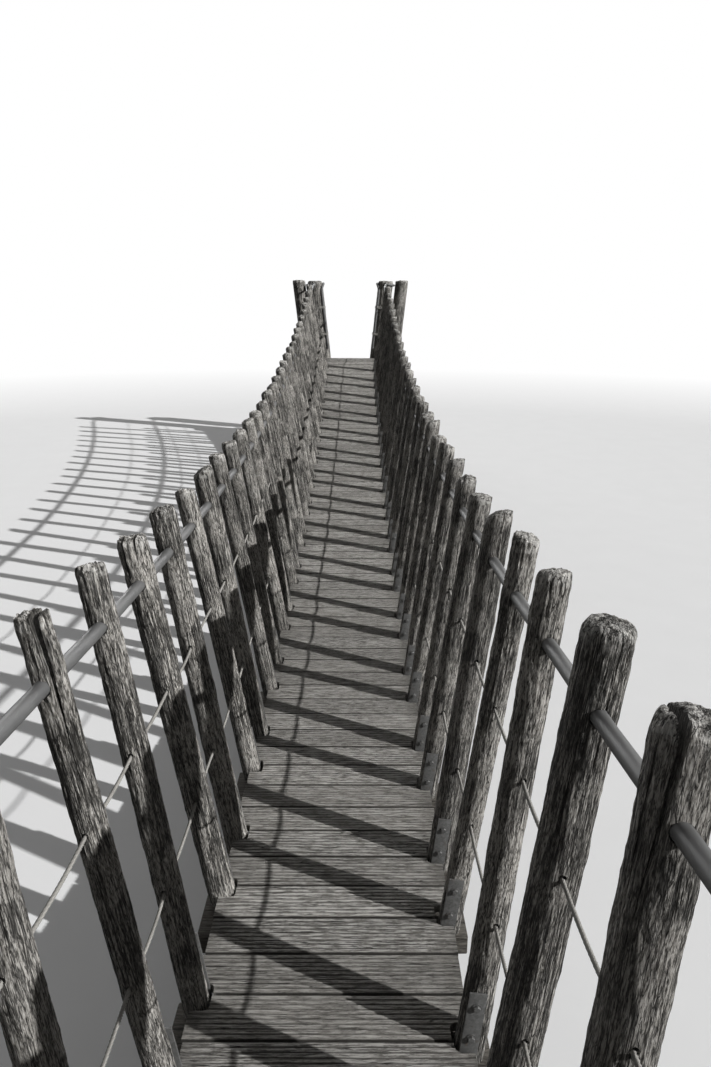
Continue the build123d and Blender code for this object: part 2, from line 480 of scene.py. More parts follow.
def objectPlace(tree):
    return addNode(tree, "ShaderNodeTexCoord").outputs["Object"]


def attribute(tree, name, output="Fac"):
    return addNode(tree, "ShaderNodeAttribute", attribute_name=name).outputs[output]


def stretched(tree, place, scale):
    mapping = addNode(tree, "ShaderNodeMapping", {"Vector": place, "Scale": scale})
    return mapping.outputs["Vector"]


def noiseOf(tree, place, scale, detail=4.0, roughness=0.55, wave=0.0):
    inputs = {"Scale": scale, "Detail": detail, "Roughness": roughness, "Distortion": wave}
    return addNode(tree, "ShaderNodeTexNoise", {"Vector": place, **inputs}).outputs["Fac"]


def surface(tree, shader, colour, rough, height, relief):
    tree.links.new(colour, shader.inputs["Base Color"])
    if isinstance(rough, bpy.types.NodeSocket):
        tree.links.new(rough, shader.inputs["Roughness"])
    else:
        shader.inputs["Roughness"].default_value = rough
    distance, strength = relief
    inputs = {"Height": height, "Distance": distance, "Strength": strength}
    bump = addNode(tree, "ShaderNodeBump", inputs)
    tree.links.new(bump.outputs["Normal"], shader.inputs["Normal"])


# Weathered timber, whose grain runs along the third number of the grainPlace attribute. Each
# pattern of the look is its scale and how far it is drawn out along the grain.
def woodMaterial(name, look):
    material, tree, shader = nodeTree(name)
    place = attribute(tree, "grainPlace", "Vector")
    hollowShade, wearAndHighlight, tone = (attribute(tree, layer) for layer in ("hollowShade", "wearAndHighlight", "tone"))

    def along(pattern, detail, roughness, wave=0.0):
        scale, stretch = look[pattern]
        drawnOut = stretched(tree, place, (1, 1, stretch))
        return noiseOf(tree, drawnOut, scale, detail, roughness, wave)

    def darkLines(source, width, softness):
        ridge = maths(tree, "ABSOLUTE", maths(tree, "SUBTRACT", source, 0.5))
        stops = [(0.0, 0.0), (softness, 0.2), (1.0, 1.0)]
        return ramp(tree, maths(tree, "DIVIDE", ridge, width), stops)

    def dimmed(colour, source, shade, low=0.0, high=1.0):
        dim = ramp(tree, source, [(low, look[shade]), (high, 1.0)])
        return mixed(tree, 1.0, colour, dim, "MULTIPLY")

    streak = along("streaks", 5, 0.68, look["wave"])
    fibre = along("fibres", 3, 0.6)
    flake = along("flakes", 4, 0.65, look["wave"])
    cloud = noiseOf(tree, place, look["clouds"], 5, 0.6)
    crack = darkLines(along("cracks", 3, 0.5), times(tree, cloud, look["crackWidth"]), 0.45)
    rillWidth = times(tree, cloud, look["rillWidth"])
    rill = darkLines(along("rills", 3, 0.55, look["wave"]), rillWidth, 0.3)
    gully = darkLines(along("gullies", 3, 0.6, look["wave"]), look["gullyWidth"], 0.25)
    ridged = noiseOf(tree, place, look["ridgedPatches"], 2)
    gully = maths(tree, "MAXIMUM", gully, ramp(tree, ridged, [(0.45, 1.0), (0.52, 0.0)]))
    pits = rising(tree, flake, look["pitLow"], look["pitHigh"])

    body = ramp(tree, streak, [(0.34, look["dark"]), (0.5, look["middle"]), (0.64, look["pale"])])
    colour = dimmed(body, fibre, "fibreShade", 0.32, 0.62)
    patch = times(tree, rising(tree, cloud, 0.42, 0.66), look["patchShare"])
    fleck = times(tree, rising(tree, flake, 0.5, 0.59), look["bleachShare"])
    colour = mixed(tree, maths(tree, "MAXIMUM", patch, fleck), colour, look["bleach"])
    stain = rising(tree, noiseOf(tree, place, look["stains"], 6, 0.65), 0.5, 0.7)
    colour = mixed(tree, times(tree, stain, look["stainShare"]), colour, look["stain"])
    # Pits, rills and gullies are darkened as painted shade in these hollows; a low tone darkens a
    # whole piece
    shades = ((pits, "pitShade"), (rill, "rillShade"), (tone, "toneLow"), (gully, "gullyShade"))
    for source, shade in shades:
        colour = dimmed(colour, source, shade)
    # Paler mottles on the worn heads of logs and on the deck's rib crests, where the paleness is
    # partly wear and partly a painted highlight
    mottle = ramp(tree, along("mottles", 4, 0.7), [(0.45, 0.0), (0.56, 0.85)])
    colour = mixed(tree, times(tree, wearAndHighlight, mottle), colour, look["wearAndHighlightPale"])
    # Painted shade: the crack lines and the marked hollows (cracks, splits, board grooves and
    # joints, strand grooves) are darkened
    colour = mixed(tree, crack, look["crackShade"], colour)
    colour = mixed(tree, hollowShade, colour, look["crackShade"])

    rough = ramp(tree, streak, [(0.3, 0.95), (0.7, look["smoothest"])])
    shader.inputs["Specular IOR Level"].default_value = look["specular"]
    height = times(tree, fibre, look["fibreRelief"])
    reliefs = ((gully, "gullyRelief"), (rill, "rillRelief"), (pits, "pitRelief"))
    height = maths(tree, "ADD", height, crack)
    for source, relief in reliefs:
        height = maths(tree, "ADD", height, times(tree, source, look[relief]))
    height = maths(tree, "ADD", height, streak)
    surface(tree, shader, colour, rough, height, look["relief"])
    return material


logLook = {
    "dark": (0.2, 0.186, 0.164),
    "middle": (0.42, 0.396, 0.358),
    "pale": (0.62, 0.592, 0.545),
    "streaks": (160.0, 0.11),
    "wave": 0.2,
    "fibres": (480.0, 0.12),
    "fibreShade": 0.7,
    "fibreRelief": 0.4,
    "flakes": (420.0, 0.17),
    "pitLow": 0.38,
    "pitHigh": 0.45,
    "pitShade": 0.3,
    "pitRelief": 0.7,
    "clouds": 11.0,
    "cracks": (40.0, 0.045),
    "crackWidth": 0.022,
    # the colour of the painted shade in cracks and hollows
    "crackShade": (0.026, 0.024, 0.021),
    "rills": (130.0, 0.1),
    "rillWidth": 0.1,
    "rillShade": 0.24,
    "rillRelief": 0.9,
    "gullies": (85.0, 0.045),
    "gullyWidth": 0.085,
    "gullyShade": 0.12,
    "gullyRelief": 2.0,
    "ridgedPatches": 5.0,
    "bleach": (0.78, 0.757, 0.715),
    "patchShare": 0.28,
    "bleachShare": 0.62,
    "stains": 19.0,
    "stain": (0.1, 0.093, 0.082),
    "stainShare": 0.22,
    "mottles": (55.0, 1.0),
    "wearAndHighlightPale": (0.84, 0.82, 0.78),
    "toneLow": 0.5,  # how dark a log with tone 0 is
    "smoothest": 0.78,
    "specular": 0.25,
    "relief": (0.0024, 1.0),  # of the bump: its distance and its strength
}
deckLook = dict(
    logLook,
    dark=(0.15, 0.141, 0.126),
    middle=(0.25, 0.237, 0.215),
    pale=(0.37, 0.352, 0.322),
    streaks=(170.0, 0.06),
    flakes=(380.0, 0.1),
    pitShade=0.6,
    cracks=(30.0, 0.03),
    crackWidth=0.01,
    rillWidth=0.05,
    rillShade=0.6,
    rillRelief=0.5,
    gullyWidth=0.02,
    gullyShade=0.5,
    gullyRelief=0.6,
    bleach=(0.5, 0.482, 0.45),
    patchShare=0.3,
    bleachShare=0.35,
    stain=(0.12, 0.112, 0.1),
    stainShare=0.3,
    # of the rib crests' paleness, partly wear and partly a painted highlight
    wearAndHighlightPale=(0.8, 0.78, 0.74),
    mottles=(170.0, 0.1),
    toneLow=0.66,
    relief=(0.0016, 1.0),
)
gateLook = dict(
    logLook,
    streaks=(110.0, 0.11),
    rills=(90.0, 0.1),
    cracks=(24.0, 0.045),
    crackWidth=0.035,
    toneLow=0.7,
)
beamLook = dict(
    deckLook,
    dark=(0.08, 0.072, 0.06),
    middle=(0.15, 0.137, 0.118),
    pale=(0.25, 0.23, 0.2),
    bleach=(0.27, 0.25, 0.225),
    stain=(0.06, 0.054, 0.046),
)

logWood = woodMaterial("logWood", logLook)
deckWood = woodMaterial("deckWood", deckLook)
gateWood = woodMaterial("gateWood", gateLook)
beamWood = woodMaterial("beamWood", beamLook)


# Dull zinc-coated steel with spangle, dull clouds and a little rust
def steelMaterial(name, look):
    material, tree, shader = nodeTree(name)
    place = objectPlace(tree)
    spangle = addNode(tree, "ShaderNodeTexVoronoi", {"Vector": place, "Scale": look["spangle"]})
    value = addNode(tree, "ShaderNodeSeparateColor", {0: spangle.outputs["Color"]}).outputs[0]
    colour = ramp(tree, value, [(0.0, look["dark"]), (1.0, look["pale"])])
    dull = rising(tree, noiseOf(tree, place, look["clouds"], 6, 0.6), 0.4, 0.7)
    colour = mixed(tree, times(tree, dull, look["dullShare"]), colour, look["dull"])
    rust = rising(tree, noiseOf(tree, place, look["rustSpots"], 7, 0.7), 0.6, 0.72)
    colour = mixed(tree, times(tree, rust, look["rustShare"]), colour, look["rust"])
    rough = ramp(tree, dull, list(enumerate(look["rough"])))
    shader.inputs["Metallic"].default_value = look["metallic"]
    surface(tree, shader, colour, rough, rust, look["relief"])
    return material


plateLook = {
    "dark": (0.095, 0.095, 0.093),
    "pale": (0.155, 0.155, 0.152),
    "dull": (0.075, 0.073, 0.068),
    "dullShare": 0.5,
    "rust": (0.16, 0.1, 0.06),
    "rustShare": 0.55,
    "spangle": 160.0,
    "clouds": 30.0,
    "rustSpots": 60.0,
    "rough": (0.5, 0.72),  # where it is bright and where it is dull
    "metallic": 0.25,
    "relief": (0.0004, 0.6),
}
cableLook = dict(plateLook, dark=(0.2, 0.2, 0.197), pale=(0.3, 0.3, 0.295), spangle=400.0)
plateSteel = steelMaterial("plateSteel", plateLook)
cableSteel = steelMaterial("cableSteel", cableLook)


# A smooth weathered sheath, chalky in clouds and scuffed here and there
def sheathMaterial(name, look):
    material, tree, shader = nodeTree(name)
    place = objectPlace(tree)
    chalk = rising(tree, noiseOf(tree, place, look["clouds"], 6, 0.62), 0.35, 0.7)
    colour = mixed(tree, chalk, look["dark"], look["pale"])
    scuff = noiseOf(tree, stretched(tree, place, (1, 0.08, 1)), look["scuffs"], 5, 0.7)
    scuffed = times(tree, rising(tree, scuff, 0.58, 0.68), look["scuffShare"])
    colour = mixed(tree, scuffed, colour, look["scuff"])
    rough = ramp(tree, chalk, list(enumerate(look["rough"])))
    surface(tree, shader, colour, rough, scuff, look["relief"])
    return material


sheathLook = {
    "dark": (0.105, 0.105, 0.105),
    "pale": (0.15, 0.15, 0.148),
    "scuff": (0.21, 0.21, 0.203),
    "scuffShare": 0.5,
    "clouds": 9.0,
    "scuffs": 260.0,
    "rough": (0.4, 0.6),  # where it is dark and where it is chalky
    "relief": (0.0006, 0.4),
}
sheath = sheathMaterial("handrailSheath", sheathLook)


# Laid rope with clouds of dirt, paler on the crowns of its strands and darker between them, where
# the darkening is painted shade
def ropeMaterial(name, look):
    material, tree, shader = nodeTree(name)
    place = objectPlace(tree)
    fuzz = noiseOf(tree, place, look["fuzz"], 4, 0.7)
    colour = ramp(tree, fuzz, [(0.3, look["dark"]), (0.7, look["pale"])])
    dirt = rising(tree, noiseOf(tree, place, look["clouds"], 5, 0.6), 0.45, 0.7)
    colour = mixed(tree, times(tree, dirt, look["dirtShare"]), colour, look["dirt"])
    # Painted shade in the grooves between the strands, in the dirt colour
    colour = mixed(tree, attribute(tree, "hollowShade"), colour, look["dirt"])
    shader.inputs["Sheen Weight"].default_value = look["sheen"]
    surface(tree, shader, colour, look["rough"], fuzz, look["relief"])
    return material


ropeLook = {
    "dark": (0.3, 0.288, 0.262),
    "pale": (0.52, 0.505, 0.47),
    # of the dirt clouds, and of the painted shade between the strands
    "dirt": (0.16, 0.152, 0.136),
    "dirtShare": 0.5,
    "rough": 0.85,
    "sheen": 0.15,
    "fuzz": 700.0,
    "clouds": 20.0,
    "relief": (0.0006, 0.7),
}
ropeFibre = ropeMaterial("ropeFibre", ropeLook)
print("materials made")

cameraView = {
    "place": (0.0645, -4.4255, 2.3281),
    "yaw": 0.126,
    "pitch": -17.773,
    "roll": -0.2,
    "focal": 769.5,  # in pixels of the photograph
    "photoHeight": 1067,
    "sensor": 24.0,
    "nearest": 0.02,
}


def makeCamera(view):
    yaw, pitch, roll = (math.radians(view[turn]) for turn in ("yaw", "pitch", "roll"))
    ahead = Vector(
        (math.sin(yaw) * math.cos(pitch), math.cos(yaw) * math.cos(pitch), math.sin(pitch))
    )
    right = Vector((math.cos(yaw), -math.sin(yaw), 0))
    up = right.cross(ahead)
    tilted = right * math.cos(roll) - up * math.sin(roll)
    top = right * math.sin(roll) + up * math.cos(roll)
    camera = added(bpy.ops.object.camera_add)
    camera.name = "camera"
    camera.matrix_world = placing(tilted, top, -ahead, Vector(view["place"]))
    camera.data.sensor_fit = "VERTICAL"
    camera.data.sensor_height = view["sensor"]
    camera.data.sensor_width = view["sensor"]
    camera.data.lens = view["focal"] * view["sensor"] / view["photoHeight"]
    camera.data.clip_start = view["nearest"]
    bpy.context.scene.camera = camera


makeCamera(cameraView)

# Each light by the way it travels, its strength and how many degrees of the sky it fills
lights = {
    "sun": ((-0.81, 0.361, -0.463), 4.0, 0.6),
    "backLight": ((0.12, -0.98, -0.16), 1.7, 50.0),  # low, on the sides away from the sun
}
surroundings = {
    "skyFill": 0.09,
    "floorColour": 0.92,
    "floorBounce": 0.12,  # what the floor throws back on the bridge
    "floorFade": (11.0, 19.0),  # metres from the middle, over which the floor turns white
    "floorSize": 160.0,
    "floorDrop": 0.0005,  # below the feet of the posts
}


def makeLight(name, travel, strength, angle):
    lamp = added(bpy.ops.object.light_add, type="SUN", location=(0, 0, 8))
    lamp.name = name
    lamp.data.energy = strength
    lamp.data.angle = math.radians(angle)
    lamp.rotation_mode = "QUATERNION"
    lamp.rotation_quaternion = Vector(travel).to_track_quat("-Z", "Y")


# White where it is seen, and a weak fill where it lights the bridge
def makeSky(fill):
    world = bpy.data.worlds.new("sky")
    bpy.context.scene.world = world
    world.use_nodes = True
    tree = world.node_tree
    tree.nodes.clear()
    rays = addNode(tree, "ShaderNodeLightPath").outputs
    seen = maths(tree, "MAXIMUM", rays["Is Glossy Ray"], rays["Is Transmission Ray"])
    seen = maths(tree, "MAXIMUM", rays["Is Camera Ray"], seen)
    strength = maths(tree, "ADD", times(tree, seen, 1 - fill), fill)
    sky = addNode(tree, "ShaderNodeBackground", {"Color": (1, 1, 1, 1), "Strength": strength})
    output = addNode(tree, "ShaderNodeOutputWorld")
    tree.links.new(sky.outputs[0], output.inputs["Surface"])


def makeFloor(form):
    level = (0, 0, -form["floorDrop"])
    floor = added(bpy.ops.mesh.primitive_plane_add, size=form["floorSize"], location=level)
    floor.name = "floor"
    applyPlace(floor)
    material, tree, shader = nodeTree("paleFloor")
    pale = form["floorColour"]
    place = objectPlace(tree)
    grit = noiseOf(tree, place, 3.0, 6)
    seen = ramp(tree, grit, [(0.3, pale * 0.98), (0.7, pale)])
    cameraRay = addNode(tree, "ShaderNodeLightPath").outputs["Is Camera Ray"]
    colour = mixed(tree, cameraRay, (form["floorBounce"],) * 3, seen)
    tree.links.new(colour, shader.inputs["Base Color"])
    shader.inputs["Roughness"].default_value = 0.9
    shader.inputs["Specular IOR Level"].default_value = 0.1
    away = addNode(tree, "ShaderNodeVectorMath", {0: place}, operation="LENGTH").outputs["Value"]
    low, high = form["floorFade"]
    limits = {"Value": away, "From Min": low, "From Max": high}
    fade = addNode(tree, "ShaderNodeMapRange", limits).outputs[0]
    white = addNode(tree, "ShaderNodeEmission", {"Color": (1, 1, 1, 1), "Strength": 1.0})
    layers = {0: times(tree, fade, cameraRay), 1: shader.outputs[0], 2: white.outputs[0]}
    blended = addNode(tree, "ShaderNodeMixShader", layers)
    output = next(node for node in tree.nodes if node.type == "OUTPUT_MATERIAL")
    tree.links.new(blended.outputs[0], output.inputs["Surface"])
    floor.data.materials.append(material)


for name, (travel, strength, angle) in lights.items():
    makeLight(name, travel, strength, angle)
makeSky(surroundings["skyFill"])
makeFloor(surroundings)
bpy.context.scene.view_settings.view_transform = "Standard"
print("camera, light and floor made")

logForm = {
    "sides": 40,
    "rows": 52,
    "crowding": 1.35,  # rows stand closer towards the head
    "capRings": 4,
    "undersize": 0.99,  # of the sawn solid's corners
    "swell": 0.05,  # of the girth, in long waves
    "lumps": 0.02,  # of the girth, in short ones
    "furrow": 0.0014,  # how far the weathered surface swings in and out
    "twist": 0.13,
    "knotRise": 0.004,
    "knotPit": 0.003,
    "shoulderHeight": 0.03,  # of the part of the head that narrows
    "shoulderLumps": 0.0035,
    "headHeight": 0.14,  # of the part that is domed, slanted and chipped
    "headPits": 0.006,
    "wornHeight": 0.04,
    "girths": (0.97, 1.1),
    "girthOver": 0.03,  # above its plate, where a log takes its own girth
    "headShift": 0.012,
    "headOver": (1.2, 0.1),
    "tones": (0.45, 1.0),
}
nearForm = dict(logForm, sides=72, rows=104, crowding=1.2, capRings=8, furrow=0.0024)
traitNames = ("seed", "girth", "dome", "chip", "slant", "cracks", "deep", "knots")


def traits(*values, **more):
    kind = dict(zip(traitNames, values), crackWidth=0.0011, rise=0.0, out=0.0, splits=())
    kind["shoulder"] = 0.06 + 5.0 * kind["dome"]
    return dict(kind, **more)


# Each with its seed, its girth, the dome, chips and slant of its head, its cracks and how deep
# they are, and its knots
logKinds = [
    traits(3, 0.98, 0.012, 0.004, 0.0, 5, 0.010, 2),
    traits(11, 0.92, 0.004, 0.004, 0.010, 7, 0.009, 1),
    traits(23, 1.0, 0.015, 0.006, -0.008, 4, 0.011, 3),
    traits(37, 0.95, 0.003, 0.005, 0.0, 6, 0.010, 1),
    traits(41, 1.02, 0.009, 0.005, 0.015, 5, 0.011, 2),
    traits(59, 0.93, 0.008, 0.006, -0.012, 6, 0.010, 2),
]

# The logs nearest to the camera, by side and number along the bridge. A split is how far across
# it lies, how far down it reaches, how wide it gapes at the top and how far it leans.
nearLogs = {
    (-1, 10): traits(101, 0.96, 0.006, 0.006, 0.0, 6, 0.010, 1, tone=0.35),
    (-1, 11): traits(
        103, 0.84, 0.005, 0.007, 0.0, 5, 0.010, 1,
        tone=0.5, rise=0.012, out=-0.006, splits=[(0.016, 0.42, 0.016, 0.004)],
    ),
    (-1, 12): traits(107, 0.89, 0.003, 0.009, 0.008, 8, 0.009, 2, tone=0.65, rise=0.012, out=0.002),
    (-1, 13): traits(
        109, 1.06, 0.002, 0.008, 0.0, 7, 0.012, 3, tone=1.0, rise=-0.018,
        splits=[(-0.022, 0.24, 0.005, 0.0), (0.016, 0.075, 0.008, 0.002)],
    ),
    (-1, 14): traits(113, 1.04, 0.006, 0.008, 0.004, 7, 0.010, 2, tone=0.85, rise=0.004),
    (1, 10): traits(
        127, 1.27, 0.008, 0.006, 0.0, 8, 0.014, 2, tone=0.3, rise=0.006, out=0.006,
        shoulder=0.2, splits=[(-0.026, 0.4, 0.013, -0.014)],
    ),
    (1, 11): traits(131, 1.2, 0.007, 0.005, 0.0, 9, 0.010, 3, tone=0.55, rise=0.026, shoulder=0.2),
    (1, 12): traits(
        137, 0.96, 0.005, 0.005, -0.006, 8, 0.012, 2,
        tone=0.75, rise=0.024, out=-0.006, shoulder=0.16,
    ),
    (1, 13): traits(139, 0.88, 0.006, 0.006, 0.005, 6, 0.010, 2, tone=0.9, rise=0.014, out=0.004),
}


def apart(first, second):
    return abs((first - second + math.pi) % (2 * math.pi) - math.pi)


# Where each crack runs: which edge of the blank, from where to where, how deep
def crackRuns(draw, count, countSides, length, deepest):
    runs = []
    for slot in draw.sample(range(0, countSides, 3), count):
        reach = draw.uniform(0.12, 0.7) * length
        if draw.random() < 0.45:
            low, high = length - reach, length + 0.01
        else:
            low = draw.uniform(0.0, length - reach)
            high = low + reach
        runs.append((slot, low, high, deepest * draw.uniform(0.4, 1.0)))
    return runs


# A debarked log with lengthwise cracks, furrows, knots and a weathered head, standing at zero
def wornLog(radius, length, kind, form):
    seed, girth = kind["seed"], kind["girth"]
    draw = random.Random(seed)
    log = newCylinder(form["sides"], radius, length, length / 2)
    subdivided(log, 2, length / 2, form["rows"])
    editing(log, "faces", isTop)
    for _ in range(form["capRings"]):
        bpy.ops.mesh.inset(thickness=radius * 0.9 / (form["capRings"] + 0.6))
    done()
    places = points(log)
    share = np.clip(places[:, 2] / length, 0, 1)
    places[:, 2] = length * (1 - (1 - share) ** form["crowding"])
    movePoints(log, places)

    runs = crackRuns(draw, kind["cracks"], form["sides"], length, kind["deep"])
    step = 2 * math.pi / form["sides"]

    def runOf(point):
        if point[0] ** 2 + point[1] ** 2 < (0.45 * radius) ** 2:
            return None
        angle = math.atan2(point[1], point[0])
        for slot, low, high, deep in runs:
            if apart(angle, slot * step) < 0.006 and low <= point[2] <= high:
                return slot, low, high, deep
        return None

    def inCrack(edge):
        first, second = runOf(edge.verts[0].co), runOf(edge.verts[1].co)
        return first is not None and first == second

    editing(log, "edges", inCrack)
    bpy.ops.mesh.bevel(offset=kind["crackWidth"], segments=2, affect="EDGES")
    done()

    places = points(log)
    hollowShade = np.zeros(len(places))
    wearAndHighlight = np.zeros(len(places))
    knots = [
        (draw.uniform(0, 2 * math.pi), draw.uniform(0.25, 0.9) * length, draw.uniform(0.014, 0.024))
        for _ in range(kind["knots"])
    ]
    slantTurn, bendTurn = draw.uniform(0, 2 * math.pi), draw.uniform(0, 2 * math.pi)
    bend = draw.uniform(0.002, 0.005)
    for index, (x, y, z) in enumerate(places):
        far, angle, down = math.hypot(x, y), math.atan2(y, x), length - z
        edge = far / radius  # 1 on the side of the log, less on its cap
        around, beside = math.cos(angle), math.sin(angle)
        run = runOf((x, y, z))
        sink = 0.0
        if run:
            slot, low, high, deep = run
            along = (z - low) / (high - low)
            fade = min(1.0, 4 * along) * min(1.0, 4 * (1 - along) if high < length else 1.0)
            sink = deep * max(0.0, fade) * (0.6 + 0.8 * wander(0, 0, z, 14.0, seed + slot))
            sink = max(0.0, sink)
            # The crack's depth here, which the material turns into painted shade in the crack
            hollowShade[index] = min(1.0, sink / 0.004)
        swell = 1 + form["swell"] * wander(around, beside, z * 1.8, 0.9, seed)
        swell += form["lumps"] * wander(around, beside, z * 1.6, 3.2, seed + 5)
        reach = far * swell * girth
        fine = (around * radius * 22, beside * radius * 22)
        furrow = wander(*fine, z * 2.6, 6.0, seed + 9)
        furrow += 0.7 * wander(*fine, z * 3.4, 13.0, seed + 4)
        reach += edge * form["furrow"] * furrow * (1 + 0.5 * max(0.0, 1 - down / 0.4))
        for knotAngle, knotPlace, knotSize in knots:
            away = math.hypot(apart(angle, knotAngle) * radius, (z - knotPlace) * 0.7) / knotSize
            if away < 2.5:
                rise = form["knotRise"] * math.exp(-(away**2))
                reach += edge * (rise - form["knotPit"] * math.exp(-((away * 2.6) ** 2)))
        top = max(0.0, (z - (length - form["shoulderHeight"])) / form["shoulderHeight"])
        reach *= 1 - kind["shoulder"] * top**2.4
        lump = wander(around * 4, beside * 4, z * 9, 1.3, seed + 12)
        reach += edge * top * form["shoulderLumps"] * lump
        drop = 0.5 * sink
        if edge > 0.97:
            reach = max(0.2 * radius, reach - sink)
            drop = 0.0
        angle += form["twist"] * wander(0, 0, z, 0.9, seed) + 0.03 * wander(0, 0, z, 6.0, seed + 3)
        near = max(0.0, 1 - down / form["headHeight"])
        inside = (around * edge, beside * edge, 0)
        height = z - near * kind["dome"] * min(1.0, edge) ** 2
        height += near * kind["slant"] * math.cos(angle - slantTurn) * edge
        height += near**3 * kind["chip"] * wander(*inside, 2.4, seed)
        height += near**4 * 0.5 * kind["chip"] * wander(*inside, 7.0, seed + 1)
        height -= near**4 * form["headPits"] * max(0.0, wander(*inside, 5.0, seed + 2))
        shift = bend * math.sin(math.pi * z / length)
        places[index] = (
            reach * math.cos(angle) + shift * math.cos(bendTurn),
            reach * math.sin(angle) + shift * math.sin(bendTurn),
            height - drop,
        )
        wearAndHighlight[index] = min(1.0, max(0.0, 1 - down / form["wornHeight"])) ** 0.8
    movePoints(log, places)
    paint(log, "hollowShade", hollowShade)
    paint(log, "wearAndHighlight", wearAndHighlight)
    return log


splitForm = {
    "above": ((0.06, 1.25), (0.0, 1.0)),  # stages of the wedge: height and share of the gape
    "below": ((0.35, 0.6), (0.6, 0.24), (1, 0.05)),  # share of the reach and of the gape
    "depth": 0.3,
    "drift": 0.003,
    "heart": 0.033,  # radius of the part that is shaded inside a split
    "shade": 0.85,
}


# Wedges that open a log from its top, standing in the log's own axes
def openSplits(log, length, splits, form):
    wedges = []
    for across, reach, gape, lean in splits:
        stages = [*form["above"], *((-part * reach, wide) for part, wide in form["below"])]
        top = (across, 0, length + stages[0][0])
        wedge = added(bpy.ops.mesh.primitive_plane_add, size=1, location=top)
        wedge.scale = (gape * stages[0][1], form["depth"], 1)
        applyPlace(wedge)
        editingAll(wedge, "FACE")
        middle = across
        for (above, wide), (below, narrow) in zip(stages, stages[1:]):
            drift = form["drift"] * wander(across * 50, below * 9, 0, 1.0, length)
            drift += lean * (above - below) / reach
            middle += drift
            extrude((drift, 0, below - above))
            centre = (middle, 0, length + below)
            bpy.ops.transform.resize(value=(narrow / wide, 1, 1), center_override=centre)
        done()
        outward(wedge)
        wedges.append(wedge)
    cutWith(log, joined(wedges, "wedges"))
    own = points(log)
    inside = np.zeros(len(own), bool)
    for across, reach, gape, lean in splits:
        place = across + lean * (length - own[:, 2]) / reach
        inside |= (np.abs(own[:, 0] - place) < gape * 0.9) & (own[:, 2] > length - reach)
    inside &= np.hypot(own[:, 0], own[:, 1]) < form["heart"]
    paint(log, "hollowShade", np.where(inside, form["shade"], painted(log, "hollowShade")))


fitForm = {
    "drillSides": 24,
    "drillRoom": 0.0016,  # round a line in its hole
    "plateRoom": 0.012,  # above a plate, before the log is round again
    "flatSunk": 0.0002,  # below the flat of the solid, which carries the plate
    "flatReach": 0.019,  # from the middle of a log, where it is always flat
    "outOver": (0.3, 0.9),  # how high up a log bends outwards, and over what length
    "riseOver": (1.15, 0.12),
}


def plateEnd(side):
    return buried(side) + railing["plateTop"] + fitForm["plateRoom"]


def drill(radius, centre, along, depth):
    cutter = newCylinder(fitForm["drillSides"], radius, depth)
    moved(cutter, along.to_track_quat("Z", "X").to_matrix().to_4x4(), centre)
    return cutter


# The side that the steel plate lies on is cut flat up to a little above the plate
def flatten(own, side):
    face = logFlat - fitForm["flatSunk"]
    proud = -side * own[:, 1]
    low = own[:, 2] < plateEnd(side)
    close = (np.abs(own[:, 0]) < fitForm["flatReach"]) & (proud > 0.5 * face)
    own[:, 1] = np.where(low & ((proud > face) | close), -side * face, own[:, 1])


# A log turned about its own axis, flattened for its plate, drilled for the lines and cut level
def drilledLog(blank, side, spread, turn, kind):
    log = copyOf(blank, "drilledLog")
    moved(log, Matrix.Rotation(turn, 4, "Z"))
    if kind["splits"]:
        openSplits(log, logLength, kind["splits"], splitForm)
    moved(log, (0, 0, -railing["logRadius"]))
    own = points(log)
    own[:, 0] += side * kind["out"] * fading(own[:, 2], *fitForm["outOver"])
    own[:, 2] += kind["rise"] * fading(own[:, 2], *fitForm["riseOver"])
    flatten(own, side)
    movePoints(log, own)
    placed = logPlacing(side, spread)
    moved(log, placed)
    along = deckRun(-spread * boardPitch)
    cutters = []
    for height, diameter in railLines.values():
        radius = diameter / 2 + fitForm["drillRoom"]
        cutters.append(drill(radius, placed @ upLog(side, height), along, 4 * railing["logRadius"]))
    cutWith(log, joined(cutters, "drill"))
    level = deck["floorHeight"] + bearerTop + deck["seat"]
    sawOff(log, (0, 0, level), (0, 0, 1), clear_inner=True)
    return log


logLength = buried(-1) + logTop + railing["logRadius"]
blankRadius = railing["logRadius"] * logForm["undersize"]
blanks = [wornLog(blankRadius, logLength, kind, logForm) for kind in logKinds]
print("log blanks shaped")

drilled = {}
turnDraw = random.Random(5)
for side in sides:
    for spread in (-1, 1):
        for number, blank in enumerate(blanks):
            turn = turnDraw.uniform(0, 2 * math.pi)
            drilled[side, spread, number] = drilledLog(blank, side, spread, turn, logKinds[number])
throwAway(*blanks)
for (side, place), kind in nearLogs.items():
    blank = wornLog(blankRadius, logLength, kind, nearForm)
    turn = turnDraw.uniform(0, 2 * math.pi)
    drilled[side, place] = drilledLog(blank, side, bearers[place][1], turn, kind)
    throwAway(blank)
print("logs drilled")


